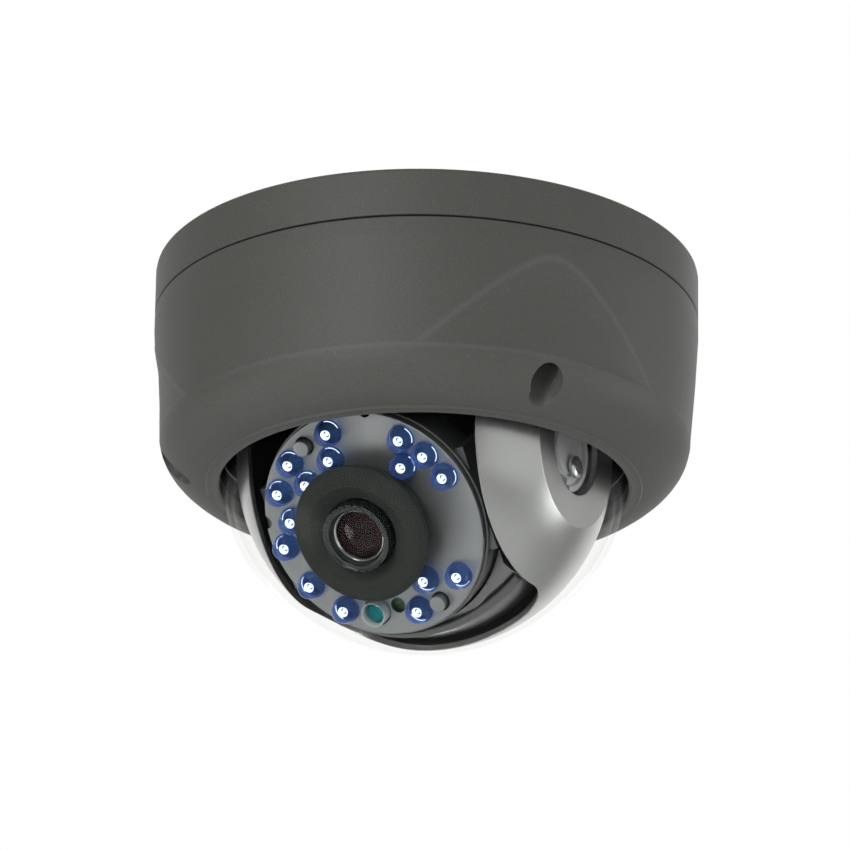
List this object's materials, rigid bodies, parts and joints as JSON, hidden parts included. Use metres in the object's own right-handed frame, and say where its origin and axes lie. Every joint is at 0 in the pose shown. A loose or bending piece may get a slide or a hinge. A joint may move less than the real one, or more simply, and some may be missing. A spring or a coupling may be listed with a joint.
{
  "type": "dome surveillance camera",
  "caption": "Ceiling-mounted dome surveillance camera with a drum housing, clear bubble and a pan, tilt and rotate camera head ringed by infrared lamps.",
  "frame": {"origin": "centre of the flat face that meets the ceiling", "axes": "+Z out of the mounting face into the ceiling, -Y the way the lens looks at rest, +X along the tilt axis"},
  "size_m": [0.111, 0.111, 0.0824],
  "materials": {
    "cast_paint": "fine-texture powder coat",
    "cast_alloy": "as-cast",
    "steel": "zinc plated",
    "rubber": "matt",
    "clear_plastic": "clear polycarbonate",
    "black_plastic": "moulded",
    "circuit_board": "solder mask",
    "shroud_paint": "satin metallic grey paint",
    "carrier_paint": "satin dark grey paint",
    "gloss_black": "gloss",
    "seal_felt": "coarse textured",
    "plate_paint": "satin grey paint",
    "foam": "closed-cell foam",
    "led_epoxy": "blue tinted epoxy",
    "ring_silver": "anodised",
    "lens_glass": "coated",
    "teal_glass": "coated",
    "silicon": "glossy"
  },
  "bodies": {
    "base": {"mounting_base": "cast_paint", "cover_o_ring": "rubber", "cable_grommet": "rubber", "main_board": "circuit_board", "gimbal_bracket": "cast_alloy", "pan_retaining_ring": "steel"},
    "cover": {"dome_cover": "cast_paint", "dome_bubble": "clear_plastic", "bubble_gasket": "rubber", "bubble_clamp_ring": "steel", "cover_screw_1": "steel", "cover_screw_2": "steel", "cover_screw_3": "steel"},
    "pan_stage": {"pan_turntable": "black_plastic", "gimbal_shroud": "shroud_paint", "yoke_left": "cast_alloy", "yoke_right": "cast_alloy", "tilt_pin_left": "steel", "tilt_pin_right": "steel", "friction_washer_left": "black_plastic", "friction_washer_right": "black_plastic", "tilt_lock_guide": "clear_plastic", "tilt_lock_screw": "steel"},
    "tilt_stage": {"camera_carrier": "carrier_paint", "carrier_skirt": "gloss_black", "light_seal_strip": "seal_felt"},
    "camera_head": {"front_plate": "plate_paint", "ir_board": "circuit_board", "head_frame": "black_plastic", "head_retaining_ring": "steel", "foam_ring": "foam", "lens_mount": "black_plastic", "lens_barrel": "black_plastic", "lens_retainer": "ring_silver", "lens_glass": "lens_glass", "ir_filter": "teal_glass", "sensor_board": "circuit_board", "image_sensor": "silicon", "light_sensor": "teal_glass", "light_sensor_holder": "clear_plastic", "plate_peg_1": "plate_paint", "plate_peg_2": "plate_paint", "ir_led_01": "led_epoxy", "ir_led_02": "led_epoxy", "ir_led_03": "led_epoxy", "ir_led_04": "led_epoxy", "ir_led_05": "led_epoxy", "ir_led_06": "led_epoxy", "ir_led_07": "led_epoxy", "ir_led_08": "led_epoxy", "ir_led_09": "led_epoxy", "ir_led_10": "led_epoxy", "ir_led_11": "led_epoxy", "ir_led_12": "led_epoxy", "ir_led_13": "led_epoxy", "ir_led_14": "led_epoxy", "ir_led_15": "led_epoxy", "ir_led_16": "led_epoxy"}
  },
  "joints": [
    {"name": "cover_lift_off", "type": "slide", "parent": "base", "child": "cover", "axis": [0, 0, -1], "range_m": [0, 0.07]},
    {"name": "pan", "type": "hinge", "parent": "base", "child": "pan_stage", "pos_m": [0, 0, 0], "axis": [0, 0, 1], "range_deg": [-175, 180]},
    {"name": "tilt", "type": "hinge", "parent": "pan_stage", "child": "tilt_stage", "pos_m": [0, 0, -0.0442], "axis": [1, 0, 0], "range_deg": [-40, 20]},
    {"name": "rotate", "type": "hinge", "parent": "tilt_stage", "child": "camera_head", "pos_m": [0, 0, -0.0442], "axis": [0, -0.7627, -0.6468], "range_deg": [-175, 180]}
  ]
}
